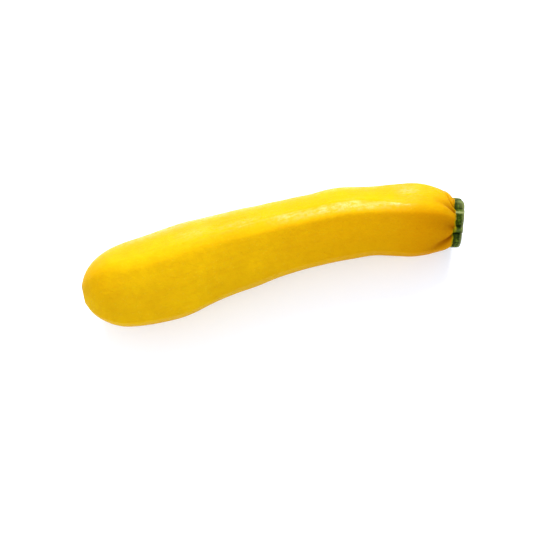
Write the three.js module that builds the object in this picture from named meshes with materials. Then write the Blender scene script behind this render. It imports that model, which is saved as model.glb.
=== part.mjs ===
// A yellow zucchini, picked with a short stub of its stem and laid on its side.
//
// Millimetres, +Z up. The fruit lies along X, its blossom end at -X and its stem at +X, and it
// rests on Z = 0. It is bowed: the outer side of the bow, the crown, points towards +Y.
// The skin and the stem are turned on a lathe as straight, round bodies, then ribbed, creased and
// bent along the bowed centre line. Round the fruit, angles are in degrees from the crown,
// growing towards the side that lies uppermost.
import * as THREE from "three";

// Driving dimensions.
const FRUIT_LENGTH = 194; // along the centre line, from the blossom scar to the stem
const STEM_GAP = 0.3; // between the two solids, where the fruit grows into its stem
const STEM_LENGTH = 4.4;
const STEM_RADIUS = 12.3;
const SCAR_RADIUS = 4.6;
const RIDGES = 5;
const FIRST_RIDGE = 66; // degrees
const LYING_ROLL = 74; // degrees from the crown to the side that lies uppermost
const LYING_PITCH = 2.4; // degrees, the stem end lower, because the fruit is thinner there
const REST_DENT = 0.4; // how far the skin gives where it bears on the table

// The centre line: how far along, and how far it bows out towards the crown.
const CENTRE_LINE = [
  [0, 0.8],
  [26, 1.1],
  [48, 2.5],
  [64, 5.5],
  [84, 8.5],
  [108, 10.6],
  [136, 11.7],
  [164, 9],
  [184, 5],
  [198, 0.6],
];

// The skin's radius at distances from the blossom scar: blunt end, belly, neck and shoulder.
const SKIN = [
  [SCAR_RADIUS, 0],
  [9.6, 2.2],
  [15.4, 7.2],
  [19.6, 15.6],
  [21.6, 26],
  [22.4, 36],
  [23, 48],
  [22.5, 58],
  [20.6, 73],
  [19.5, 91],
  [18.7, 109],
  [18.6, 130],
  [18.3, 145],
  [17.9, 155],
  [18.4, 166],
  [18.8, 175],
  [18.1, 183],
  [16.2, 189],
  [13.9, 192.4],
  [12.3, FRUIT_LENGTH],
];

// Creases that run from the stem out over the shoulder: the angle where each starts at the stem,
// the angle where it fades out, how long it is, and how deep it is at the stem.
const CREASES = [
  { stem: 48, fades: 28, length: 12, depth: 1.7 },
  { stem: 60, fades: 54, length: 26, depth: 0.7 },
  { stem: 98, fades: 96, length: 12, depth: 0.6 },
  { stem: 117, fades: 150, length: 20, depth: 1.9 },
  { stem: 172, fades: 178, length: 14, depth: 0.9 },
  { stem: 196, fades: 190, length: 18, depth: 1.7 },
  { stem: 244, fades: 248, length: 12, depth: 0.8 },
  { stem: 268, fades: 258, length: 20, depth: 1.8 },
  { stem: 316, fades: 322, length: 16, depth: 0.9 },
  { stem: 340, fades: 346, length: 14, depth: 1.6 },
];
const CREASE_WIDTH = 7; // degrees, from its middle to where it is a third as deep

const AROUND = 60;
const SKIN_STEPS = 52;

const spine = new THREE.CatmullRomCurve3(
  CENTRE_LINE.map(([along, bow]) => new THREE.Vector3(along, 0, bow)),
);
const SPINE_LENGTH = spine.getLength();
const UPPERMOST = new THREE.Vector3(0, -1, 0);

// How strongly the five ridges stand out, from the smooth blossom end to the shoulder.
function ridgeHeight(along) {
  const grown = THREE.MathUtils.smoothstep(along, 5, 75);
  return 0.008 + 0.027 * grown;
}

// The radius of a ridged section, as a share of the round one: rounded ridges, nearly flat faces.
function ridged(angle, height) {
  const turn = THREE.MathUtils.degToRad(angle - FIRST_RIDGE) * RIDGES;
  return 1 + height * (Math.cos(turn) + 0.2 * Math.cos(2 * turn));
}

// The smaller of the two angles between two directions.
function apart(a, b) {
  return Math.abs(THREE.MathUtils.euclideanModulo(a - b + 180, 360) - 180);
}

function creaseDepth(angle, along) {
  const fromStem = FRUIT_LENGTH - along;
  return CREASES.reduce((deepest, { stem, fades, length, depth }) => {
    const out = fromStem / length;
    if (out >= 1) return deepest;
    const middle = THREE.MathUtils.lerp(stem, fades, out);
    const across = apart(angle, middle) / CREASE_WIDTH;
    return Math.max(deepest, depth * (1 - out) * Math.exp(-across * across));
  }, 0);
}

// The point at a distance along the centre line and a radius and angle round it.
function onBody(along, angle, radius) {
  const share = Math.min(along / SPINE_LENGTH, 1);
  const tangent = spine.getTangentAt(share);
  const crown = new THREE.Vector3().crossVectors(tangent, UPPERMOST).negate().normalize();
  const turn = THREE.MathUtils.degToRad(angle);
  return spine
    .getPointAt(share)
    .addScaledVector(crown, radius * Math.cos(turn))
    .addScaledVector(UPPERMOST, radius * Math.sin(turn));
}

// Turns a profile of [radius, distance along] points, then bends it along the centre line. shape
// gives the radius at an angle and a distance along from the turned one.
function turnedAndBent(profile, shape) {
  const geometry = new THREE.LatheGeometry(profile, AROUND);
  const position = geometry.getAttribute("position");
  const vertex = new THREE.Vector3();
  for (let i = 0; i < position.count; i += 1) {
    vertex.fromBufferAttribute(position, i);
    const angle = THREE.MathUtils.radToDeg(Math.atan2(vertex.x, vertex.z));
    const round = Math.hypot(vertex.x, vertex.z);
    const bent = onBody(vertex.y, angle, shape(angle, vertex.y, round));
    position.setXYZ(i, bent.x, bent.y, bent.z);
  }
  return geometry;
}

function skinGeometry() {
  const points = SKIN.map(([radius, along]) => new THREE.Vector2(radius, along));
  const skin = new THREE.SplineCurve(points).getSpacedPoints(SKIN_STEPS);
  const profile = [new THREE.Vector2(0, 0), ...skin, new THREE.Vector2(0, FRUIT_LENGTH)];
  return turnedAndBent(profile, (angle, along, round) => {
    const creased = Math.max(round - creaseDepth(angle, along), 0);
    return round === 0 ? 0 : creased * ridged(angle, ridgeHeight(along));
  });
}

// The stub flares a little into the fruit and has a blunt rim round its cut face. Its ribs carry
// on from the fruit's ridges, with a lesser rib between each two.
function stemGeometry() {
  const start = FRUIT_LENGTH + STEM_GAP;
  const end = start + STEM_LENGTH;
  const profile = [
    new THREE.Vector2(0, start),
    new THREE.Vector2(STEM_RADIUS, start),
    new THREE.Vector2(STEM_RADIUS * 0.98, start + STEM_LENGTH * 0.4),
    new THREE.Vector2(STEM_RADIUS * 0.96, end - 0.9),
    new THREE.Vector2(STEM_RADIUS * 0.88, end),
    new THREE.Vector2(0, end),
  ];
  return turnedAndBent(profile, (angle, along, round) => {
    const turn = THREE.MathUtils.degToRad(angle - FIRST_RIDGE) * RIDGES;
    return round * (1 + 0.035 * Math.cos(turn) + 0.025 * Math.cos(2 * turn));
  });
}

function mesh(name, geometry, color, roughness) {
  const made = new THREE.Mesh(
    geometry,
    new THREE.MeshStandardMaterial({ color, roughness, metalness: 0 }),
  );
  made.name = name;
  return made;
}

// Lays both pieces down: rolled on to a face of the back, pitched, and set on the table with the
// skin flattened where it bears.
function layDown(meshes) {
  const turned = new THREE.Matrix4()
    .makeRotationY(THREE.MathUtils.degToRad(LYING_PITCH))
    .multiply(new THREE.Matrix4().makeRotationX(-THREE.MathUtils.degToRad(LYING_ROLL)));
  const box = new THREE.Box3();
  meshes.forEach(({ geometry }) => {
    geometry.applyMatrix4(turned);
    geometry.computeBoundingBox();
    box.union(geometry.boundingBox);
  });
  const middle = box.getCenter(new THREE.Vector3());
  meshes.forEach(({ geometry }) => {
    geometry.translate(-middle.x, -middle.y, -box.min.z - REST_DENT);
    const position = geometry.getAttribute("position");
    for (let i = 0; i < position.count; i += 1) {
      position.setZ(i, Math.max(position.getZ(i), 0));
    }
    geometry.computeVertexNormals();
  });
}

const fruit = mesh("fruit", skinGeometry(), 0xeab814, 0.35);
const stem = mesh("stem", stemGeometry(), 0x4f6f2e, 0.7);
layDown([fruit, stem]);

const zucchini = new THREE.Group();
zucchini.name = "yellow_zucchini";
zucchini.add(fruit, stem);

export default zucchini;
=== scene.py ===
"""A yellow zucchini as picked, with its cut stem, lying on its side on a pale table.

Fruit and stem are turned as straight, round bodies along +X and carved while they are straight. They
are then bent along the fruit's bowed centre line and laid down where the frame has them. Round a
straight body, angles are in degrees from the crown, the outer side of the bow, and grow towards the
side that ends up on top. Lengths are in millimetres until the points are placed.
"""
import math

import bpy
import numpy as np
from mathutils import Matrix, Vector, noise


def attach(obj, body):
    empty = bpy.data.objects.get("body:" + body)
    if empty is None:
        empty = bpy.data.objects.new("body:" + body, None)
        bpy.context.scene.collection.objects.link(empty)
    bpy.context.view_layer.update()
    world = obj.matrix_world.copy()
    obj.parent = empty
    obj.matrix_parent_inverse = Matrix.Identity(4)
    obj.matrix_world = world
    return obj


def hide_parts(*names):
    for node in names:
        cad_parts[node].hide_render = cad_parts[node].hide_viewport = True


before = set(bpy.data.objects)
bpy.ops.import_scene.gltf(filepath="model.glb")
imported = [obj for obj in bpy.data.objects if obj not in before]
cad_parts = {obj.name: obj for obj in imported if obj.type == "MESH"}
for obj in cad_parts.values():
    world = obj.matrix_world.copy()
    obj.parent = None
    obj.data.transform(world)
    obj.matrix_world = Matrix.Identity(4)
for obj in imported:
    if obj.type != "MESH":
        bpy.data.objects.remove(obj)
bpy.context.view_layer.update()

MM = 0.001

# ---------------------------------------------------------------- driving dimensions, in millimetres

FRUIT_LENGTH = 194.8  # along the centre line, from the blossom scar to the stem
STEM_LENGTH = 5.0
STEM_END = FRUIT_LENGTH + STEM_LENGTH
STEM_RADIUS = 13.0
SCAR_RADIUS = 4.6
LYING_ROLL = 74.0  # degrees from the crown to the side that lies uppermost
LYING_PITCH = 2.4  # degrees, the stem end lower
LYING_AT = (-100.7, -4.15)  # where the centre line begins on the table
REST_DENT = 0.4  # how far the skin gives where it bears on the table
MIN_RADIUS = 0.02  # the least that carving leaves of a radius
SUBDIVISIONS = 2
CURVE_STEPS, LINE_STEPS = 4000, 600  # how finely a curve is measured, and how finely the centre line is kept
STATIONS, TURN_STEP = 80, 3.0  # where the sections are measured: how many along, and degrees between two
SEED_SHIFT = (7.1, 3.7, 5.3)  # how far apart two seeds read the random heights

# The centre line: how far along, and how far it bows out towards the crown.
CENTRE_LINE = [
    (0, -0.1), (13, 0.3), (26, 0.9), (48, 2.5), (64, 5.5), (84, 8.5), (108, 10.6), (136, 11.7),
    (164, 9), (184, 4.9), (190, 3.0), (200, 0.6),
]
# The skin: how far along, and its radius. Blunt end, belly, neck and shoulder.
SKIN = [
    (0, SCAR_RADIUS), (2.2, 9.6), (7.2, 15.4), (15.6, 19.6), (26, 21.6), (36, 22.4), (48, 23), (58, 22.5),
    (73, 20.7), (91, 19.7), (109, 18.9), (130, 18.8), (145, 18.5), (155, 18.2), (166, 18.7), (175, 19.1),
    (183, 18.4), (188, 17.0), (191, 15.5), (193, 14.3), (FRUIT_LENGTH, 13.1),
]
SKIN_RINGS = 54
FRUIT_AROUND = 76
# The fruit's end faces: the radii of the rings in the scar and under the stem.
SCAR_RINGS = (0.35, 0.9, 1.6, 2.3, 3.0, 3.6, 4.1)
SEAT_RINGS = (12.8, 11.4, 8, 3)
# The edge of the skin round the stem: how far back its rings are, and how much they widen with that.
BRINK_RINGS = (1.6, 0.7, 0.2, 0)
BRINK_SLOPE = 0.7

# The angles of the five ridges, one of them double, at four stages along the fruit.
BLOSSOM_RIDGES = (-14, 53, 63, 146, 210, 280)
BELLY_RIDGES = (-14, 60, 71, 146, 210, 280)
NECK_RIDGES = (-6, 53, 77, 142, 212, 283)
SHOULDER_RIDGES = (0, 67, 81, 146, 216, 288)
# From where to where along the fruit each stage turns into the next.
TO_BELLY, TO_NECK, TO_SHOULDER = (12, 26), (50, 115), (145, 172)
# How crisp the ridges are at the belly and at the neck, and from where to where that changes.
BELLY_CRISPNESS, NECK_CRISPNESS, TO_CRISP = 36, 56, (60, 115)
# How strongly they show: at first, how much that grows over the blossom end, and what is lost again
# over the shoulder.
RIDGE_SHARE, RIDGE_GAIN, RIDGE_LOSS = 0.28, 0.40, 0.16
GAINED_OVER, LOST_OVER = (-6, 24), (175, FRUIT_LENGTH)
# How much of the width that the flat faces cost is given back: the angle of each side, and the share.
WIDTH_KEPT = ((0, 1), (90, 0.8), (180, 1), (270, 0.8))

# Patches on the skin: how far along, the angle, how strongly, and the reach along and around.
# Where the skin is polished.
POLISH = [
    (70, -8, 0.90, 55, 16), (145, -8, 0.60, 30, 16), (80, 25, 0.06, 28, 20), (62, 42, 0.50, 8, 12),
    (85, 51, 0.60, 12, 7), (109, 60, 0.55, 7, 8), (120, 64, 0.35, 7, 6), (131, 64, 0.90, 7, 7),
    (141, 58, 0.70, 5, 9), (151, 67, 0.70, 8, 6), (164, 66, 1.10, 6, 8), (171, 28, 1.20, 5, 14),
    (172, 52, 0.45, 5, 8), (130, 208, 0.20, 25, 8), (130, 280, 0.20, 25, 8),
]
# Where it has a little more orange in it. The patches under the belly's lower rim and on the shoulder by
# the stem are painted shade.
BLUSHES_AND_SHADE = [
    (8, 40, 0.12, 16, 40), (9, 78, 0.12, 7, 28), (32, 186, 0.30, 20, 22), (184, 62, 0.25, 6, 16),
]
# Where it is a little browner.
TANNED = [(4, 74, 0.20, 8, 32)]
# Where it swells or sinks, in millimetres.
SWELLINGS = [
    (8, 0, -0.3, 8, 50), (66, 0, 0.7, 28, 45), (97, 0, -0.3, 6, 35), (125, 0, -0.4, 5, 35),
    (139, 0, 0.8, 8, 35), (177, 0, 0.4, 8, 35), (193, 10, 1.4, 4, 30),
    (7, 180, -0.6, 6, 45), (26, 180, 0.6, 20, 50), (57, 180, -0.7, 9, 50), (84, 180, 0.9, 13, 50),
    (153, 180, -0.5, 9, 50), (187, 180, -0.7, 12, 50),
]
# Its random unevenness: the height, the size of the features, and the seed.
SKIN_WAVES = [(0.22, 30, 1), (0.12, 12, 2)]
WAVES_FROM = (5, 14)  # the radius from which swells and waves show, and where they are in full

# Creases from the stem out over the shoulder: the angle at the stem, the angle where it fades out, how
# late it turns there, its length, its depth at the stem, and its width on its two sides, in degrees.
CREASES = [
    (51, -30, 2.0, 8, 2.0, 7, 4),
    (68, 52, 0.8, 13, 1.9, 8, 3),
    (102, 100, 1.0, 7, 1.2, 5, 8),
    (113, 150, 0.40, 17, 2.3, 6, 5),
    (196, 190, 0.9, 18, 1.6, 4, 7),
    (243, 248, 1.0, 12, 1.0, 5, 5),
    (268, 250, 0.9, 18, 2.0, 4, 8),
    (300, 312, 1.0, 15, 1.2, 6, 5),
    (338, 350, 1.1, 14, 1.8, 7, 4),
]
CREASE_FULL = 2.0  # the depth at which a crease has its full painted shade
CREASE_FLARE = 0.8  # how much wider it gets by the place where it fades out
CREASE_FADE, HALO_SHADE_FADE = 1.3, 2  # how soon its depth and the painted shade beside it fade
HALO_SHADE_WIDTH = 2.5  # how many times as wide as the crease the painted shade beside it is

# The rind's colours along the fruit, orange that is partly painted shade on the flank and by the stem: how
# far along, and how orange it is, on the flank that lies between the double ridge and the inner side of the
# bow, and elsewhere.
FLANK_ORANGE_AND_SHADE = [(70, 0), (100, 0.17), (135, 0.43), (160, 0.50), (176, 0.75), (FRUIT_LENGTH, 0.78)]
OTHER_ORANGE_AND_SHADE = [(174, 0), (182, 0.12), (190, 0.38)]
FLANK_BEGINS, FLANK_ENDS = (69, 83), (170, 230)
# The lemon-yellow band on the crown's side of the flank, partly painted light that makes the upper side
# lighter: its angles, and where it is along the fruit.
LEMON_BEGINS, LEMON_ENDS = (-10, 55), (62, 76)
LEMON_FROM, LEMON_TO = (75, 105), (160, 172)
# Painted shade in the hollow under the stem, just past the double ridge: its angle, strength, width, and
# where it begins.
HOLLOW_SHADE_ANGLE, HOLLOW_SHADE, HOLLOW_SHADE_WIDTH, HOLLOW_SHADE_FROM = 96, 0.35, 15, (170, 190)

# How far beyond the end of the fruit the stem turns green, by angle, and how ragged that edge is.
GREEN_EDGE = [
    (0, 0.8), (25, 0.5), (45, -0.2), (57, -0.3), (68, 0.1), (90, 0.1), (99, 0.0), (108, -0.4), (117, -0.7),
    (128, -0.2), (140, 0.0), (165, 0.2), (180, 0.4), (270, 0.2), (360, 0.8),
]
GREEN_RAGGED = [(0.35, 1.5, 8)]  # in the terms of SKIN_WAVES
# How far from that edge the rind turns olive and then green.
OLIVE_EDGE, GREENING = (-0.9, -0.2), (-0.1, 0.5)

# The blossom scar's outline: its rim as a share of SCAR_RADIUS, how many corners it has, the angle of
# one and how far they stand out, and how many slighter lobes, and how far those stand out.
SCAR_FILLS = 0.96
SCAR_CORNERS, CORNER_AT, CORNER_SHARE = 5, 40, 0.05
SCAR_LOBES, LOBE_SHARE = 3, 0.02
SCAR_ENDS = 3  # from here along the fruit nothing belongs to the scar
SCAR_FADES = 1.5  # how far beyond SCAR_RADIUS its relief fades out
OFF_SCAR = 9  # the reach that stands for anywhere off the scar
# Its relief, where the reach is 0 in its middle and 1 at its rim. The rim, the collar round its middle
# and the pit in that: the height, the reach and the width. Then its dish, and the fine rings in that.
SCAR_RIM, SCAR_COLLAR, SCAR_PIT = (0.12, 0.98, 0.10), (0.22, 0.27, 0.09), (-0.5, 0, 0.16)
DISH_HEIGHT, DISH_SIDE = -0.30, (0.55, 1.0)
RINGS_HEIGHT, RINGS_TIGHTNESS, RINGS_END = 0.05, 26, (0.7, 0.95)

# The stem's rings. From inside the fruit: how far past its end, and how far in from STEM_RADIUS. Up to
# the cut: how far short of it, and how far in. On the cut face: how far below the cut, and the radius.
STEM_FOOT = [
    (-1.4, 10), (-1.4, 5), (-1.4, 3), (-0.6, 2.0), (-0.2, 0.3), (0.1, 0), (1.2, 0.05), (2.4, 0.1),
]
STEM_TOP = [(1.5, 0.15), (0.6, 0.15), (0.15, 0.25), (0, 0.6)]
STEM_FACE = [(0, 10.6), (0.15, 9), (0.25, 7.4), (0.3, 5.6), (0.3, 3.8), (0.3, 2), (0.3, 0.5)]
STEM_AROUND = 96
# Its ribs: the angle and depth of the groove before each, the angle of its crest, and how pale that is.
# The grooves are painted darker as shade, and the palest crest, which faces the light, is painted highlight.
STEM_RIBS = [
    (16, 0.5, 34, 0.2), (54, 0.7, 65.5, 1.0), (99, 1.1, 108, 0.2), (117, 1.4, 160, 0.1),
    (202, 1.4, 219, 0.6), (243, 0.9, 256, 0.2), (268, 1.5, 284, 0.8), (300, 0.7, 309, 0.2),
    (318, 0.8, 329, 0.3), (338, 1.4, 358, 0.3),
]
RIB_FULLNESS = 1.8  # the more, the fuller the ribs and the narrower the grooves
CREST_WIDTH, GROOVE_WIDTH = 2.5, 3.5  # degrees
RIBS_FROM = (7, 12)  # the radius from which the ribs show, and where they are in full
# Broad bulges round the stem: the angle, the height and the width. Then the worn part of its rim.
STEM_BULGES = [(10, 0.6, 30), (185, -0.45, 30)]
WORN_ANGLE, WORN_DEPTH, WORN_WIDTH = 8, 1.5, 30
# The random unevenness of its side and of its cut face, in the terms of SKIN_WAVES.
STEM_WAVES = [(0.12, 4, 3), (0.10, 1.6, 4)]
FACE_WAVES = [(0.10, 2.2, 5), (0.08, 0.9, 6)]
# The cut isn't square: how far it slants, and how far it is bent like a saddle.
CUT_SLANT, CUT_SADDLE = 0.7, 0.45
# Along the stem, what follows begins and ends at these places.
SLANTED = (FRUIT_LENGTH + 1, STEM_END - 0.8)
WORN = (STEM_END - 2.0, STEM_END)
PALE_PATCH_SPAN = (FRUIT_LENGTH + 0.8, STEM_END - 1)
RIM_DRIED = (STEM_END - 1.8, STEM_END - 0.3)
FACE_UNEVEN = (STEM_END - 0.5, STEM_END - 0.35)
FACE_PALE = (STEM_END - 0.45, STEM_END - 0.3)
# How far from the green edge the stem's gold ends, and where the dark band begins and ends.
GOLDEN_EDGE, DARK_BEGINS, DARK_ENDS = (-0.2, 0.2), (0.1, 0.6), (0.9, 2.4)
# How far past that edge yellow runs up the stem: everywhere, further in tongues, and how it ends there.
YELLOW_REACH, TONGUE_REACH, TONGUE_WIDTH, YELLOW_ENDS = 0.3, 2.4, 9, (0.0, 0.8)
YELLOW_TONGUES = (10, 108, 172, 255, 325)
# Where the stem is paler towards the cut on its upper side: the angle and the width.
PALE_PATCH_ANGLE, PALE_PATCH_WIDTH = 28, 26
# From the middle of the cut outwards: the ragged pith, the ring of fibre bundles, and the edges of the
# pale face, of its unevenness and of the dried rim.
PITH_EDGE, PITH_RAGGED = (3, 7.5), [(1, 2.5, 9)]
BUNDLE_RADIUS, BUNDLE_WIDTH = 8.2, 0.8
FACE_EDGE, UNEVEN_EDGE, RIM_EDGE = (11.0, 11.6), 11.5, (9.5, 11.5)


# ---------------------------------------------------------------- shapes in numbers

def smoothstep(start, end, value):
    """0 up to the start, 1 from the end on, and a smooth rise between. The start may be the larger."""
    t = np.clip((np.asarray(value, float) - start) / (end - start), 0, 1)
    return t * t * (3 - 2 * t)


def between(begins, ends, value):
    """Rises smoothly from 0 to 1 over the first span and falls back over the second."""
    return smoothstep(*begins, value) * (1 - smoothstep(*ends, value))


def bell(distance, width):
    """1 where there is no distance, about a third at the width, and next to 0 at twice the width."""
    return np.exp(-((distance / width) ** 2))


def table_at(table, value):
    """Looks a value up in a table of pairs, with straight lines between them."""
    places, heights = np.transpose(table)
    return np.interp(value, places, heights)


def curve_through(points, count):
    """Evenly spaced points on a smooth curve through the given ones."""
    points = np.array(points, float)
    knots = np.concatenate(([0], np.cumsum(np.linalg.norm(np.diff(points, axis=0), axis=1))))
    slopes = np.gradient(points, knots, axis=0)
    fine = np.linspace(0, knots[-1], CURVE_STEPS)
    span = np.clip(np.searchsorted(knots, fine) - 1, 0, len(knots) - 2)
    width = (knots[span + 1] - knots[span])[:, None]
    t = (fine - knots[span])[:, None] / width
    curve = (
        (2 * t**3 - 3 * t**2 + 1) * points[span]
        + (t**3 - 2 * t**2 + t) * width * slopes[span]
        + (3 * t**2 - 2 * t**3) * points[span + 1]
        + (t**3 - t**2) * width * slopes[span + 1]
    )
    travelled = np.concatenate(([0], np.cumsum(np.linalg.norm(np.diff(curve, axis=0), axis=1))))
    even = np.linspace(0, travelled[-1], count)
    return np.column_stack([np.interp(even, travelled, axis) for axis in curve.T])


def apart(a, b):
    """How far angle a lies past angle b, from -180 to 180 degrees."""
    return (a - b + 180) % 360 - 180


def faceted(angle, ridges, crispness):
    """The radius at each angle of a section with a flat face from each ridge to the next."""
    half = (np.concatenate((ridges[..., 1:], ridges[..., :1] + 360), axis=-1) - ridges) / 2
    reach = np.clip(np.cos(np.radians(angle[..., None] - ridges - half)), 0, None) / np.cos(np.radians(half))
    return np.sum(reach ** crispness[..., None], axis=-1) ** (-1 / crispness)


def ridges_along(along):
    """The angles of the ridges at each place along the fruit."""
    blossom, belly, neck, shoulder = (
        np.array(ridges, float) for ridges in (BLOSSOM_RIDGES, BELLY_RIDGES, NECK_RIDGES, SHOULDER_RIDGES)
    )
    to_belly, to_neck, to_shoulder = (
        smoothstep(*span, along)[..., None] for span in (TO_BELLY, TO_NECK, TO_SHOULDER)
    )
    return blossom + (belly - blossom) * to_belly + (neck - belly) * to_neck + (shoulder - neck) * to_shoulder


def section(angle, along):
    """The radius of the fruit's section, where a round one has 1."""
    crispness = BELLY_CRISPNESS + (NECK_CRISPNESS - BELLY_CRISPNESS) * smoothstep(*TO_CRISP, along)
    gained, lost = smoothstep(*GAINED_OVER, along), smoothstep(*LOST_OVER, along)
    share = RIDGE_SHARE + RIDGE_GAIN * gained - RIDGE_LOSS * lost
    return 1 + share * (faceted(angle, ridges_along(along), crispness) - 1)


def section_as_wide(angle, along):
    """The same, but as wide as a round section towards the crown and opposite it, and nearly so across."""
    stations = np.linspace(0, FRUIT_LENGTH, STATIONS)[:, None]
    round_about = np.arange(0, 360, TURN_STEP)[None, :]
    shape = section(round_about + 0 * stations, stations + 0 * round_about)
    stretch = 0
    for side, kept in WIDTH_KEPT:
        extent = (shape * np.cos(np.radians(round_about - side))).max(axis=1)
        towards = np.clip(np.cos(np.radians(angle - side)), 0, None) ** 2
        stretch = stretch + towards * np.interp(along, stations[:, 0], extent**-kept)
    return section(angle, along) * stretch


def creases_at(angle, along):
    """How deep the creases under the stem are, in millimetres, and how much painted shade lies beside them.
    """
    deepest, crease_halo_shade = np.zeros_like(along), np.zeros_like(along)
    for stem, fades, late, length, depth, before, past in CREASES:
        out = np.clip((FRUIT_LENGTH - along) / length, 0, 1)
        across = apart(angle, stem + (fades - stem) * out**late)
        width = np.where(across < 0, before, past) * (1 + CREASE_FLARE * out)
        deepest = np.maximum(deepest, depth * (1 - out) ** CREASE_FADE * bell(across, width))
        crease_halo_shade = np.maximum(crease_halo_shade, depth * (1 - out) ** HALO_SHADE_FADE * bell(across, width * HALO_SHADE_WIDTH))
    return deepest, crease_halo_shade


def spread_over(patches, angle, along):
    """The sum of soft patches: how far along, the angle, the strength, and the reach along and around."""
    return sum(
        strength * bell(along - place, length) * bell(apart(angle, side), width)
        for place, side, strength, length, width in patches
    )


# ---------------------------------------------------------------- modelling helpers

def turned(name, rings, around):
    """A closed round body along +X, from a circle extruded through rings of (along, radius)."""
    bpy.ops.object.select_all(action="DESELECT")
    along, radius = rings[0]
    bpy.ops.mesh.primitive_circle_add(
        vertices=around,
        radius=radius * MM,
        location=(along * MM, 0, 0),
        rotation=(0, math.radians(90), 0),
    )
    body = bpy.context.object
    body.name = body.data.name = name
    bpy.ops.object.transform_apply(location=True, rotation=True, scale=True)
    bpy.ops.object.mode_set(mode="EDIT")
    bpy.ops.mesh.select_all(action="SELECT")
    for next_along, next_radius in rings[1:]:
        bpy.ops.mesh.extrude_region_move(TRANSFORM_OT_translate={"value": ((next_along - along) * MM, 0, 0)})
        grown = next_radius / radius
        bpy.ops.transform.resize(value=(1, grown, grown), center_override=(next_along * MM, 0, 0))
        along, radius = next_along, next_radius
    bpy.ops.mesh.select_all(action="SELECT")
    bpy.ops.mesh.fill_holes(sides=0)
    bpy.ops.mesh.select_all(action="SELECT")
    bpy.ops.mesh.normals_make_consistent(inside=False)
    bpy.ops.object.mode_set(mode="OBJECT")
    return body


def subdivided(body, levels):
    rounder = body.modifiers.new("rounder", "SUBSURF")
    rounder.levels = rounder.render_levels = levels
    bpy.ops.object.modifier_apply(modifier=rounder.name)


def points_of(body):
    """The body's points, in millimetres."""
    points = np.empty(len(body.data.vertices) * 3)
    body.data.vertices.foreach_get("co", points)
    return points.reshape(-1, 3) / MM


def place_points(body, points):
    body.data.vertices.foreach_set("co", (points * MM).ravel())
    body.data.update()


def straight_terms(points):
    """Distance along, angle from the crown in degrees, and radius of a straight body's points."""
    along, side, crown = points.T
    return along, np.degrees(np.arctan2(-side, crown)), np.hypot(side, crown)


def straight_points(along, angle, radius):
    turn = np.radians(angle)
    return np.column_stack([along, -radius * np.sin(turn), radius * np.cos(turn)])


def kept_off_middle(carved, radius):
    """The carved radius, at least MIN_RADIUS. A point in the very middle of an end face stays there."""
    return np.where(radius > MIN_RADIUS / 2, np.maximum(carved, MIN_RADIUS), radius)


def keep_as(body, name, values):
    """Stores one number for each point of the body, for its material to read."""
    body.data.attributes.new(name, "FLOAT", "POINT").data.foreach_set("value", np.asarray(values, np.float32))


def keep_straight(body, points):
    """Stores where each point was while the body was straight, so that a pattern can follow the skin."""
    stored = body.data.attributes.new("grown", "FLOAT_VECTOR", "POINT")
    stored.data.foreach_set("vector", (points * MM).astype(np.float32).ravel())


def waves(points, layers):
    """Smooth random heights: the sum of layers of (height, size of the features, seed)."""
    total = np.zeros(len(points))
    for height, size, seed in layers:
        shift = Vector([seed * step for step in SEED_SHIFT])
        total += height * np.array([noise.noise(Vector(p) / size + shift) for p in points])
    return total


def bent(points):
    """Straight points, bent along the centre line."""
    line = curve_through(CENTRE_LINE, LINE_STEPS)
    travelled = np.concatenate(([0], np.cumsum(np.linalg.norm(np.diff(line, axis=0), axis=1))))
    heading = np.gradient(line, travelled, axis=0)
    along, side, crown = points.T
    x, bow, run, rise = (np.interp(along, travelled, axis) for axis in (*line.T, *heading.T))
    return np.column_stack([x - crown * rise, side, bow + crown * run])


def laid_down(points):
    """Bent points, rolled on to a face of the fruit's back and pitched. They aren't on the table yet."""
    roll, pitch = math.radians(LYING_ROLL), math.radians(LYING_PITCH)
    x, y, z = points.T
    rolled_y = y * math.cos(roll) + z * math.sin(roll)
    rolled_z = z * math.cos(roll) - y * math.sin(roll)
    return np.column_stack([
        x * math.cos(pitch) + rolled_z * math.sin(pitch),
        rolled_y,
        rolled_z * math.cos(pitch) - x * math.sin(pitch),
    ])


def past_green_edge(points, angle, along):
    """How far past the ragged edge of the green each point is, in millimetres."""
    return along - FRUIT_LENGTH - table_at(GREEN_EDGE, angle % 360) + waves(points, GREEN_RAGGED)


def finish_piece(body, node):
    bpy.ops.object.select_all(action="DESELECT")
    body.select_set(True)
    bpy.context.view_layer.objects.active = body
    bpy.ops.object.shade_smooth()
    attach(body, "root")
    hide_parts(node)


# ---------------------------------------------------------------- the fruit

def scar_relief(angle, radius):
    """How far the blossom scar stands out, in millimetres, and its reach: 1 at its rim, 0 in its middle."""
    corners = CORNER_SHARE * np.cos(np.radians(SCAR_CORNERS * (angle - CORNER_AT)))
    lobes = LOBE_SHARE * np.sin(np.radians(SCAR_LOBES * angle))
    reach = radius / (SCAR_RADIUS * SCAR_FILLS * (1 + corners + lobes))
    rounds = (SCAR_RIM, SCAR_COLLAR, SCAR_PIT)
    raised = sum(height * bell(reach - place, width) for height, place, width in rounds)
    dish = DISH_HEIGHT * (1 - smoothstep(*DISH_SIDE, reach))
    rings = RINGS_HEIGHT * np.cos(reach * RINGS_TIGHTNESS) * (1 - smoothstep(*RINGS_END, reach))
    return raised + dish + rings, reach


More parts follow.
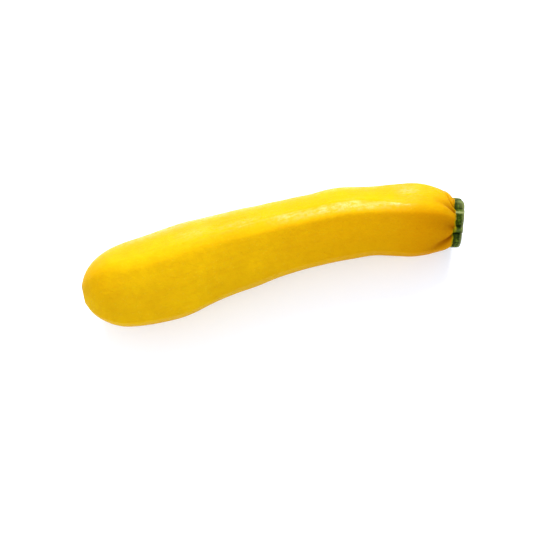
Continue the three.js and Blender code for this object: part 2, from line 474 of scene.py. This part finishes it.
def colour_fruit(fruit, points, angle, along, crease, crease_halo_shade, scar_reach):
    """Stores where the rind has which colour and finish, painted light and shade among them.

    The points are the carved ones. Angles and distances are from before the carving.
    """
    # Painted shade: the creases and the hollow under the stem are painted darker, and the blossom end's tip a
    # little browner.
    past_ridge = bell(apart(angle, HOLLOW_SHADE_ANGLE), HOLLOW_SHADE_WIDTH)
    shade_and_tan = HOLLOW_SHADE * smoothstep(*HOLLOW_SHADE_FROM, along) * past_ridge + spread_over(TANNED, angle, along)
    keep_as(fruit, "crease", np.clip(crease / CREASE_FULL + shade_and_tan, 0, 1))
    # Painted shade beside the creases, in orange.
    keep_as(fruit, "crease_halo_shade", np.clip(crease_halo_shade / CREASE_FULL, 0, 1))
    # Orange, partly painted shade: it darkens the flank, the shoulder by the stem and the belly's lower rim.
    flank = between(FLANK_BEGINS, FLANK_ENDS, angle % 360)
    orange_and_shade = table_at(FLANK_ORANGE_AND_SHADE, along) * flank + table_at(OTHER_ORANGE_AND_SHADE, along) * (1 - flank)
    keep_as(fruit, "orange_and_shade", orange_and_shade + spread_over(BLUSHES_AND_SHADE, angle, along))
    # Lemon yellow, partly painted light that makes the upper side lighter.
    lemon_and_light = between(LEMON_BEGINS, LEMON_ENDS, angle) * between(LEMON_FROM, LEMON_TO, along)
    keep_as(fruit, "lemon_and_light", lemon_and_light)
    keep_as(fruit, "polish", spread_over(POLISH, angle, along))
    beyond = past_green_edge(points, angle, along)
    keep_as(fruit, "olive", smoothstep(*OLIVE_EDGE, beyond))
    keep_as(fruit, "greening", smoothstep(*GREENING, beyond))
    keep_as(fruit, "scar_reach", scar_reach)


def make_fruit():
    scar = [(0, radius) for radius in SCAR_RINGS]
    skin = [tuple(point) for point in curve_through(SKIN, SKIN_RINGS)]
    brink = [(FRUIT_LENGTH - back, SKIN[-1][1] + BRINK_SLOPE * back) for back in BRINK_RINGS]
    seat = [(FRUIT_LENGTH, radius) for radius in SEAT_RINGS]
    fruit = turned("zucchini_fruit", scar + skin[:-1] + brink + seat, FRUIT_AROUND)
    subdivided(fruit, SUBDIVISIONS)

    points = points_of(fruit)
    along, angle, radius = straight_terms(points)
    crease, crease_halo_shade = creases_at(angle, along)
    lumps = spread_over(SWELLINGS, angle, along) + waves(points, SKIN_WAVES)
    carved = (radius - crease) * section_as_wide(angle, along) + lumps * smoothstep(*WAVES_FROM, radius)
    carved = kept_off_middle(carved, radius)
    relief, reach = scar_relief(angle, radius)
    on_scar = smoothstep(SCAR_RADIUS + SCAR_FADES, SCAR_RADIUS, radius) * (along < SCAR_ENDS)
    carved_along = along - relief * on_scar
    points = straight_points(carved_along, angle, carved)

    keep_straight(fruit, points)
    scar_reach = np.where(along < SCAR_ENDS, reach, OFF_SCAR)
    colour_fruit(fruit, points, angle, along, crease, crease_halo_shade, scar_reach)
    return fruit, laid_down(bent(points))


# ---------------------------------------------------------------- the stem

def rib_phase(angle):
    """Whole numbers in the grooves between the stem's ribs, halves on the ribs' crests."""
    turns = [turn for groove, _, crest, _ in STEM_RIBS for turn in (groove, crest)]
    turns.append(turns[0] + 360)
    return np.interp((angle - turns[0]) % 360 + turns[0], turns, np.arange(len(turns)) / 2)


def rib_hollows(angle):
    """How deep the grooves between the stem's ribs are at each angle."""
    phase = rib_phase(angle)
    rise = np.abs(np.sin(np.pi * phase))
    depth = np.interp(phase, np.arange(len(STEM_RIBS) + 1), [rib[1] for rib in STEM_RIBS + STEM_RIBS[:1]])
    return depth * (1 - rise) ** RIB_FULLNESS


def colour_stem(stem, points, angle, along, radius, outer):
    """Stores where the stem has which colour, painted highlight and shade among them.

    The points are the carved ones. Angles, distances and radii are from before the carving.
    """
    # Crests painted paler: the ribs' own pale edges, and a painted highlight on the crest that faces the
    # light.
    pale_crests_and_highlight = sum(pale * bell(apart(angle, crest), CREST_WIDTH) for _, _, crest, pale in STEM_RIBS)
    # Painted shade in the grooves between the ribs.
    groove_shade = sum(deep * bell(apart(angle, groove), GROOVE_WIDTH) for groove, deep, _, _ in STEM_RIBS)
    keep_as(stem, "crest", outer * pale_crests_and_highlight)
    keep_as(stem, "groove", outer * np.clip(groove_shade, 0, 1))

    beyond = past_green_edge(points, angle, along)
    tongues = sum(TONGUE_REACH * bell(apart(angle, side), TONGUE_WIDTH) for side in YELLOW_TONGUES)
    keep_as(stem, "golden", 1 - smoothstep(*GOLDEN_EDGE, beyond))
    keep_as(stem, "dark_band", between(DARK_BEGINS, DARK_ENDS, beyond))
    keep_as(stem, "yellowing", 1 - smoothstep(*YELLOW_ENDS, beyond / (YELLOW_REACH + tongues)))

    # Paler towards the cut on the upper side.
    pale_patch = bell(apart(angle, PALE_PATCH_ANGLE), PALE_PATCH_WIDTH) * smoothstep(*PALE_PATCH_SPAN, along)
    keep_as(stem, "pale_patch", pale_patch * outer)
    keep_as(stem, "rim", smoothstep(*RIM_DRIED, along) * smoothstep(*RIM_EDGE, radius))

    keep_as(stem, "face", smoothstep(*FACE_PALE, along) * (1 - smoothstep(*FACE_EDGE, radius)))
    keep_as(stem, "pith", 1 - smoothstep(*PITH_EDGE, radius + waves(points, PITH_RAGGED)))
    keep_as(stem, "bundles", bell(radius - BUNDLE_RADIUS, BUNDLE_WIDTH))


def make_stem():
    foot = [(FRUIT_LENGTH + past, STEM_RADIUS - inward) for past, inward in STEM_FOOT]
    top = [(STEM_END - down, STEM_RADIUS - inward) for down, inward in STEM_TOP]
    face = [(STEM_END - down, radius) for down, radius in STEM_FACE]
    stem = turned("zucchini_stem", foot + top + face, STEM_AROUND)
    subdivided(stem, SUBDIVISIONS)

    points = points_of(stem)
    along, angle, radius = straight_terms(points)
    outer = smoothstep(*RIBS_FROM, radius)
    worn = WORN_DEPTH * bell(apart(angle, WORN_ANGLE), WORN_WIDTH) * smoothstep(*WORN, along) ** 2
    bulges = sum(height * bell(apart(angle, side), width) for side, height, width in STEM_BULGES)
    carved = radius + (waves(points, STEM_WAVES) + bulges - rib_hollows(angle) - worn) * outer
    carved = kept_off_middle(carved, radius)

    turn = np.radians(angle)
    slant = (CUT_SLANT * np.cos(turn) + CUT_SADDLE * np.cos(2 * turn)) * radius / STEM_RADIUS
    slant = slant * smoothstep(*SLANTED, along)
    on_face = smoothstep(*FACE_UNEVEN, along) * (radius < UNEVEN_EDGE)
    carved_along = along + slant + on_face * waves(points, FACE_WAVES)
    points = straight_points(carved_along, angle, carved)

    keep_straight(stem, points)
    colour_stem(stem, points, angle, along, radius, outer)
    return stem, laid_down(bent(points))


# ---------------------------------------------------------------- shader helpers

class Nodes:
    """Adds nodes to a tree and links them."""

    # The mix node has sockets of every kind under the same names, so its colour sockets go by number.
    MIX_FIRST, MIX_SECOND, MIX_RESULT = 6, 7, 2

    def __init__(self, tree):
        self.tree = tree

    def add(self, kind, inputs=None, **settings):
        node = self.tree.nodes.new(kind)
        for name, value in settings.items():
            setattr(node, name, value)
        for name, value in (inputs or {}).items():
            self.feed(node.inputs[name], value)
        return node

    def feed(self, socket, value):
        if isinstance(value, bpy.types.NodeSocket):
            self.tree.links.new(value, socket)
        else:
            socket.default_value = value

    def math(self, operation, a, b):
        node = self.add("ShaderNodeMath", operation=operation)
        self.feed(node.inputs[0], a)
        self.feed(node.inputs[1], b)
        return node.outputs[0]

    def ramp(self, value, low, high, to_low=0.0, to_high=1.0):
        """Maps low..high smoothly to to_low..to_high."""
        node = self.add("ShaderNodeMapRange", interpolation_type="SMOOTHSTEP", inputs={
            "Value": value, "From Min": low, "From Max": high, "To Min": to_low, "To Max": to_high,
        })
        return node.outputs["Result"]

    def fall(self, value, low, high):
        """Falls smoothly from 1 at low to 0 at high."""
        return self.ramp(value, low, high, to_low=1.0, to_high=0.0)

    def mix(self, share, first, second):
        node = self.add("ShaderNodeMix", data_type="RGBA", inputs={"Factor": share})
        self.feed(node.inputs[self.MIX_FIRST], first)
        self.feed(node.inputs[self.MIX_SECOND], second)
        return node.outputs[self.MIX_RESULT]

    def tint(self, colour, tone, mask, strength):
        """The colour, turned this strongly into the tone where the mask is 1, and not where it is 0."""
        return self.mix(self.math("MULTIPLY", mask, strength), colour, tone)

    def stored(self, name, vector=False):
        node = self.add("ShaderNodeAttribute", attribute_type="GEOMETRY", attribute_name=name)
        return node.outputs["Vector" if vector else "Fac"]

    def noise(self, where, scale, detail, roughness):
        node = self.add("ShaderNodeTexNoise", inputs={
            "Vector": where, "Scale": scale, "Detail": detail, "Roughness": roughness,
        })
        return node.outputs["Fac"]

    def stretched(self, where, scale):
        node = self.add("ShaderNodeMapping", inputs={"Vector": where, "Scale": scale})
        return node.outputs["Vector"]


def group(name, inputs, outputs):
    """A new node group: its tree, its nodes, its inputs and its outputs."""
    tree = bpy.data.node_groups.new(name, "ShaderNodeTree")
    for socket, kind, default in inputs:
        made = tree.interface.new_socket(name=socket, in_out="INPUT", socket_type=kind)
        if default is not None:
            made.default_value = default
    for socket, kind in outputs:
        tree.interface.new_socket(name=socket, in_out="OUTPUT", socket_type=kind)
    nodes = Nodes(tree)
    return tree, nodes, nodes.add("NodeGroupInput").outputs, nodes.add("NodeGroupOutput").inputs


def make_fibres():
    """Streaks that run lengthwise along the plant's tissue, and soft cloudy patches."""
    tree, n, given, out = group(
        "plant_fibres",
        [("Where", "NodeSocketVector", None), ("Width", "NodeSocketFloat", 0.0015),
         ("Patch", "NodeSocketFloat", 0.02)],
        [("Streaks", "NodeSocketFloat"), ("Patches", "NodeSocketFloat")],
    )
    lengthwise = n.stretched(given["Where"], (0.07, 1, 1))
    per_width, per_patch = (n.math("DIVIDE", 1.0, given[size]) for size in ("Width", "Patch"))
    streaks = n.noise(lengthwise, scale=per_width, detail=3, roughness=0.6)
    patches = n.noise(given["Where"], scale=per_patch, detail=3, roughness=0.55)
    n.feed(out["Streaks"], n.ramp(streaks, 0.3, 0.7))
    n.feed(out["Patches"], n.ramp(patches, 0.3, 0.7))
    return tree


def make_pores():
    """Fine round pores, some of them paler, and the height that they give the surface."""
    tree, n, given, out = group(
        "pores",
        [("Where", "NodeSocketVector", None), ("Spacing", "NodeSocketFloat", 0.0012),
         ("Share", "NodeSocketFloat", 0.5)],
        [("Specks", "NodeSocketFloat"), ("Height", "NodeSocketFloat")],
    )
    cells = n.add("ShaderNodeTexVoronoi", inputs={
        "Vector": given["Where"], "Scale": n.math("DIVIDE", 1.0, given["Spacing"]), "Randomness": 1.0,
    })
    dot = n.fall(cells.outputs["Distance"], 0.10, 0.32)
    picked = n.add("ShaderNodeTexWhiteNoise", noise_dimensions="3D", inputs={
        "Vector": cells.outputs["Position"],
    })
    shown = n.math("LESS_THAN", picked.outputs["Value"], given["Share"])
    n.feed(out["Specks"], n.math("MULTIPLY", dot, shown))
    n.feed(out["Height"], n.math("MULTIPLY", dot, -1.0))
    return tree


def use(n, tree, **inputs):
    """Places a node group in a material, with its own values."""
    node = n.add("ShaderNodeGroup", node_tree=tree)
    for name, value in inputs.items():
        n.feed(node.inputs[name], value)
    return node.outputs


def new_material(name):
    """A material with nothing but its shader yet."""
    material = bpy.data.materials.new(name)
    material.use_nodes = True
    material.node_tree.nodes.clear()
    n = Nodes(material.node_tree)
    shader = n.add("ShaderNodeBsdfPrincipled")
    output = n.add("ShaderNodeOutputMaterial")
    n.feed(output.inputs["Surface"], shader.outputs["BSDF"])
    return material, n, shader


# ---------------------------------------------------------------- the finishes

# The rind.
GOLD = (0.525, 0.292, 0.0022, 1)
PALE_GOLD = (0.590, 0.350, 0.0022, 1)
MOTTLED_GOLD = (0.47, 0.262, 0.0020, 1)
STREAKED_GOLD = (0.585, 0.388, 0.0012, 1)
PORE_YELLOW = (0.60, 0.45, 0.03, 1)
# Lemon yellow, partly painted light on the upper side.
LEMON_AND_LIGHT_YELLOW = (0.56, 0.40, 0.003, 1)
# Orange that is partly painted shade on the flank, on the shoulder and under the belly.
SHOULDER_ORANGE_AND_SHADE = (0.44, 0.172, 0.0, 1)
# Orange painted shade beside the creases.
HALO_SHADE_ORANGE = (0.36, 0.110, 0.0, 1)
# Painted shade in the creases and the hollow under the stem, and a browner blossom tip.
SHADE_AND_TAN_BROWN = (0.22, 0.055, 0.0, 1)
OLIVE = (0.25, 0.21, 0.001, 1)
RIND_GREEN = (0.022, 0.060, 0.0025, 1)
ORANGE_DULLNESS = 0.2  # how much rougher the rind is where the orange and its painted shade lie
# The blossom scar.
SCAR_ROUGHNESS = 0.85
SCAR_DARK_GREY = (0.15, 0.14, 0.045, 1)
SCAR_PALE_GREY = (0.30, 0.29, 0.14, 1)
SCAR_TAN = (0.25, 0.17, 0.03, 1)
SCAR_BROWN = (0.10, 0.05, 0.005, 1)
SCAR_RIM_GREEN = (0.09, 0.085, 0.010, 1)
# The stem's side.
DEEP_GREEN = (0.020, 0.045, 0.0006, 1)
LEAF_GREEN = (0.062, 0.104, 0.006, 1)
STREAKED_GREEN = (0.09, 0.12, 0.015, 1)
SPECKLE = (0.25, 0.28, 0.12, 1)
BLOTCH_GREEN = (0.007, 0.017, 0.0, 1)
BAND_GREEN = (0.016, 0.026, 0.0, 1)
# Paler towards the cut on the upper side.
PALE_PATCH_GREEN = (0.21, 0.23, 0.09, 1)
# Paler crests, partly painted highlight, and painted shade in the grooves.
PALE_CREST_AND_HIGHLIGHT_GREEN = (0.27, 0.30, 0.12, 1)
GROOVE_SHADE_GREEN = (0.003, 0.009, 0.0, 1)
YELLOW_GREEN = (0.18, 0.18, 0.002, 1)
STEM_GOLD = (0.41, 0.17, 0.0, 1)
DRIED_GREEN = (0.19, 0.21, 0.08, 1)
# Its cut face.
FLESH_GREEN = (0.21, 0.24, 0.085, 1)
PALE_FLESH = (0.35, 0.36, 0.18, 1)
PITH_CREAM = (0.40, 0.37, 0.17, 1)
BUNDLE_GREEN = (0.11, 0.15, 0.04, 1)


def scar_colour(n, where, reach):
    """Dry grey skin, browner towards the middle, with a broken green rim, and how much of it shows."""
    dry = n.noise(where, scale=900, detail=4, roughness=0.65)
    ragged = n.math("MULTIPLY", n.math("SUBTRACT", dry, 0.5), 0.35)
    uneven = n.math("ADD", reach, ragged)
    tan_middle = n.fall(uneven, 0.35, 0.68)
    brown_core = n.fall(uneven, 0.16, 0.36)
    rim = n.ramp(uneven, 0.78, 0.92)
    broken = n.ramp(n.noise(where, scale=500, detail=2, roughness=0.5), 0.36, 0.52, to_low=0.25)
    on_scar = n.fall(uneven, 1.02, 1.16)
    colour = n.mix(n.ramp(dry, 0.35, 0.65), SCAR_DARK_GREY, SCAR_PALE_GREY)
    colour = n.tint(colour, SCAR_TAN, tan_middle, strength=0.7)
    colour = n.mix(brown_core, colour, SCAR_BROWN)
    colour = n.tint(colour, SCAR_RIM_GREEN, rim, strength=broken)
    return colour, on_scar


def rind_colour(n, where, grain, dots):
    """Gold with paler pores and streaks, and where the fruit says so: lemon partly painted light, orange
    partly painted shade, and painted shade in and beside the creases.
    """
    mottles = n.ramp(n.noise(where, scale=260, detail=4, roughness=0.65), 0.40, 0.64)
    colour = n.mix(grain["Patches"], GOLD, PALE_GOLD)
    colour = n.tint(colour, MOTTLED_GOLD, mottles, strength=0.35)
    colour = n.tint(colour, STREAKED_GOLD, grain["Streaks"], strength=0.25)
    colour = n.tint(colour, PORE_YELLOW, dots["Specks"], strength=0.30)
    # Painted light: the lemon band makes the upper side lighter.
    colour = n.tint(colour, LEMON_AND_LIGHT_YELLOW, n.stored("lemon_and_light"), strength=0.3)
    # Orange, partly painted shade on the flank, the shoulder and under the belly.
    colour = n.mix(n.stored("orange_and_shade"), colour, SHOULDER_ORANGE_AND_SHADE)
    # Painted shade beside the creases.
    colour = n.tint(colour, HALO_SHADE_ORANGE, n.stored("crease_halo_shade"), strength=0.6)
    # Painted shade in the creases and in the hollow under the stem, and a browner blossom tip.
    colour = n.tint(colour, SHADE_AND_TAN_BROWN, n.stored("crease"), strength=0.8)
    colour = n.tint(colour, OLIVE, n.stored("olive"), strength=0.8)
    return n.mix(n.stored("greening"), colour, RIND_GREEN)


def make_rind(fibres, pores):
    """Waxy golden rind: lemon and orange zones with painted light and shade in them, painted shade in its
    creases, polished in places, a dry scar.
    """
    material, n, shader = new_material("golden_rind")
    where = n.stored("grown", vector=True)
    grain = use(n, fibres, Where=where, Width=0.0016, Patch=0.022)
    dots = use(n, pores, Where=where, Spacing=0.0013, Share=0.35)
    reach = n.stored("scar_reach")
    scar, on_scar = scar_colour(n, where, reach)
    n.feed(shader.inputs["Base Color"], n.mix(on_scar, rind_colour(n, where, grain, dots), scar))

    waxy = n.ramp(n.noise(where, scale=180, detail=3, roughness=0.6), 0.3, 0.7, to_low=0.42, to_high=0.52)
    duller = n.math("MULTIPLY", n.stored("orange_and_shade"), ORANGE_DULLNESS)
    skin = n.math("ADD", waxy, duller)
    n.feed(shader.inputs["Roughness"], n.ramp(reach, 1.0, 1.1, to_low=SCAR_ROUGHNESS, to_high=skin))
    rubbed = n.noise(n.stretched(where, (0.5, 1, 1)), scale=650, detail=5, roughness=0.75)
    rubbed = n.ramp(rubbed, 0.40, 0.60, to_low=0.15)
    n.feed(shader.inputs["Coat Weight"], n.math("MULTIPLY", n.stored("polish"), rubbed))
    shader.inputs["Coat Roughness"].default_value = 0.28
    shader.inputs["Specular IOR Level"].default_value = 0.01
    shader.inputs["Specular Tint"].default_value = (1.0, 0.9, 0.6, 1)
    shader.inputs["Subsurface Weight"].default_value = 0.12
    shader.inputs["Subsurface Radius"].default_value = (1.0, 0.5, 0.1)
    shader.inputs["Subsurface Scale"].default_value = 0.003

    fine = n.noise(where, scale=700, detail=3, roughness=0.6)
    pitted = n.math("MULTIPLY", dots["Height"], 0.35)
    height = n.math("ADD", fine, pitted)
    bump = n.add("ShaderNodeBump", inputs={"Height": height, "Strength": 0.6, "Distance": 0.0004})
    n.feed(shader.inputs["Normal"], bump.outputs["Normal"])
    return material


def face_colour(n, where, grain):
    """The dried cut: pale green flesh, creamy pith in the middle, and a ring of darker fibre bundles."""
    colour = n.mix(grain["Patches"], FLESH_GREEN, PALE_FLESH)
    colour = n.tint(colour, PITH_CREAM, n.stored("pith"), strength=0.6)
    spots = n.ramp(n.noise(where, scale=500, detail=2, roughness=0.5), 0.46, 0.54)
    return n.tint(colour, BUNDLE_GREEN, n.math("MULTIPLY", n.stored("bundles"), spots), strength=0.6)


def side_colour(n, where, grain, dots):
    """Speckled dark green, pale along the ribs with a painted highlight on the lit crest, painted shade in
    the grooves, paler towards the cut on the upper side, yellow at the fruit and dried at the cut's rim.
    """
    colour = n.mix(grain["Patches"], DEEP_GREEN, LEAF_GREEN)
    colour = n.tint(colour, STREAKED_GREEN, grain["Streaks"], strength=0.30)
    colour = n.tint(colour, SPECKLE, dots["Specks"], strength=0.65)
    blotches = n.ramp(n.noise(where, scale=420, detail=3, roughness=0.6), 0.47, 0.55)
    colour = n.tint(colour, BLOTCH_GREEN, blotches, strength=0.85)
    colour = n.tint(colour, BAND_GREEN, n.stored("dark_band"), strength=0.85)
    # Paler towards the cut on the upper side.
    colour = n.tint(colour, PALE_PATCH_GREEN, n.stored("pale_patch"), strength=0.4)
    # Painted highlight on the lit crest, with the ribs' paler edges.
    colour = n.tint(colour, PALE_CREST_AND_HIGHLIGHT_GREEN, n.stored("crest"), strength=0.8)
    # Painted shade in the grooves.
    colour = n.mix(n.stored("groove"), colour, GROOVE_SHADE_GREEN)
    colour = n.mix(n.stored("yellowing"), colour, YELLOW_GREEN)
    colour = n.mix(n.stored("golden"), colour, STEM_GOLD)
    return n.tint(colour, DRIED_GREEN, n.stored("rim"), strength=0.7)


def make_stem_tissue(fibres, pores):
    """Dark green ribbed stem with a pale, dried cut face."""
    material, n, shader = new_material("green_stem")
    where = n.stored("grown", vector=True)
    grain = use(n, fibres, Where=where, Width=0.0007, Patch=0.003)
    dots = use(n, pores, Where=where, Spacing=0.0011, Share=0.45)
    colour = n.mix(n.stored("face"), side_colour(n, where, grain, dots), face_colour(n, where, grain))
    n.feed(shader.inputs["Base Color"], colour)
    n.feed(shader.inputs["Roughness"], n.ramp(grain["Patches"], 0, 1, to_low=0.45, to_high=0.70))
    shader.inputs["Specular IOR Level"].default_value = 0.03

    fine = n.noise(where, scale=1500, detail=3, roughness=0.6)
    fibrous = n.math("MULTIPLY", grain["Streaks"], 0.6)
    height = n.math("ADD", fibrous, fine)
    bump = n.add("ShaderNodeBump", inputs={"Height": height, "Strength": 0.5, "Distance": 0.0003})
    n.feed(shader.inputs["Normal"], bump.outputs["Normal"])
    return material


# ---------------------------------------------------------------- the pieces, put together

fruit, fruit_points = make_fruit()
stem, stem_points = make_stem()

shift = np.array([*LYING_AT, -REST_DENT - fruit_points[:, 2].min()])
for piece, placed in ((fruit, fruit_points + shift), (stem, stem_points + shift)):
    placed[:, 2] = np.maximum(placed[:, 2], 0)
    place_points(piece, placed)

fibres, pores = make_fibres(), make_pores()
fruit.data.materials.append(make_rind(fibres, pores))
stem.data.materials.append(make_stem_tissue(fibres, pores))
finish_piece(fruit, "fruit")
finish_piece(stem, "stem")


# ---------------------------------------------------------------- table, light and camera, in metres

TABLE_SIZE = 8
TABLE_WHITES = ((0.80, 0.835, 0.92, 1), (0.82, 0.855, 0.94, 1))
TABLE_GLOW, TABLE_GLOW_STRENGTH = (0.90, 0.95, 1, 1), 0.17
STUDIO_CENTRE = Vector((0, 0, 0.02))
STUDIO_WHITE, STUDIO_STRENGTH = (1, 1, 1, 1), 0.77
# The camera looks steeply down on the fruit, from its -Y side and a little towards its blossom end.
CAMERA_AZIMUTH, CAMERA_ELEVATION, CAMERA_DISTANCE = -11.4, 74, 0.762
CAMERA_AIM = Vector((-6.2, -6.8, 17.7)) * MM
CAMERA_LENS, CAMERA_SENSOR = 100, 36  # millimetres


def direction(azimuth, elevation):
    """Towards this azimuth, in degrees from -Y, and elevation."""
    a, e = math.radians(azimuth), math.radians(elevation)
    return Vector((math.sin(a) * math.cos(e), -math.cos(a) * math.cos(e), math.sin(e)))


def make_table():
    bpy.ops.object.select_all(action="DESELECT")
    bpy.ops.mesh.primitive_plane_add(size=TABLE_SIZE)
    table = bpy.context.object
    table.name = "table"
    material, n, shader = new_material("pale_table")
    where = n.add("ShaderNodeTexCoord").outputs["Object"]
    cloudy = n.noise(where, scale=3, detail=2, roughness=0.5)
    n.feed(shader.inputs["Base Color"], n.mix(cloudy, *TABLE_WHITES))
    shader.inputs["Roughness"].default_value = 0.7
    shader.inputs["Emission Color"].default_value = TABLE_GLOW
    shader.inputs["Emission Strength"].default_value = TABLE_GLOW_STRENGTH
    table.data.materials.append(material)


def add_softbox(name, azimuth, elevation, distance, width, height, power):
    """A soft rectangular light that faces the middle of the studio."""
    data = bpy.data.lights.new(name, "AREA")
    data.shape = "RECTANGLE"
    data.size = width
    data.size_y = height
    data.energy = power
    box = bpy.data.objects.new(name, data)
    bpy.context.scene.collection.objects.link(box)
    box.location = STUDIO_CENTRE + direction(azimuth, elevation) * distance
    box.rotation_euler = (STUDIO_CENTRE - box.location).to_track_quat("-Z", "Y").to_euler()


def light_studio():
    add_softbox("fill_softbox", azimuth=-30, elevation=44, distance=1.3, width=1.4, height=0.4, power=8.8)
    add_softbox("key_softbox", azimuth=172, elevation=42, distance=1.1, width=1.0, height=0.5, power=19.0)
    world = bpy.data.worlds.new("studio")
    bpy.context.scene.world = world
    world.use_nodes = True
    background = world.node_tree.nodes["Background"]
    background.inputs["Color"].default_value = STUDIO_WHITE
    background.inputs["Strength"].default_value = STUDIO_STRENGTH


def place_camera():
    data = bpy.data.cameras.new("camera")
    data.lens = CAMERA_LENS
    data.sensor_width = CAMERA_SENSOR
    camera = bpy.data.objects.new("camera", data)
    bpy.context.scene.collection.objects.link(camera)
    away = direction(CAMERA_AZIMUTH, CAMERA_ELEVATION)
    camera.location = CAMERA_AIM + away * CAMERA_DISTANCE
    camera.rotation_euler = (-away).to_track_quat("-Z", "Y").to_euler()
    bpy.context.scene.camera = camera


make_table()
light_studio()
place_camera()
bpy.context.scene.view_settings.view_transform = "Standard"
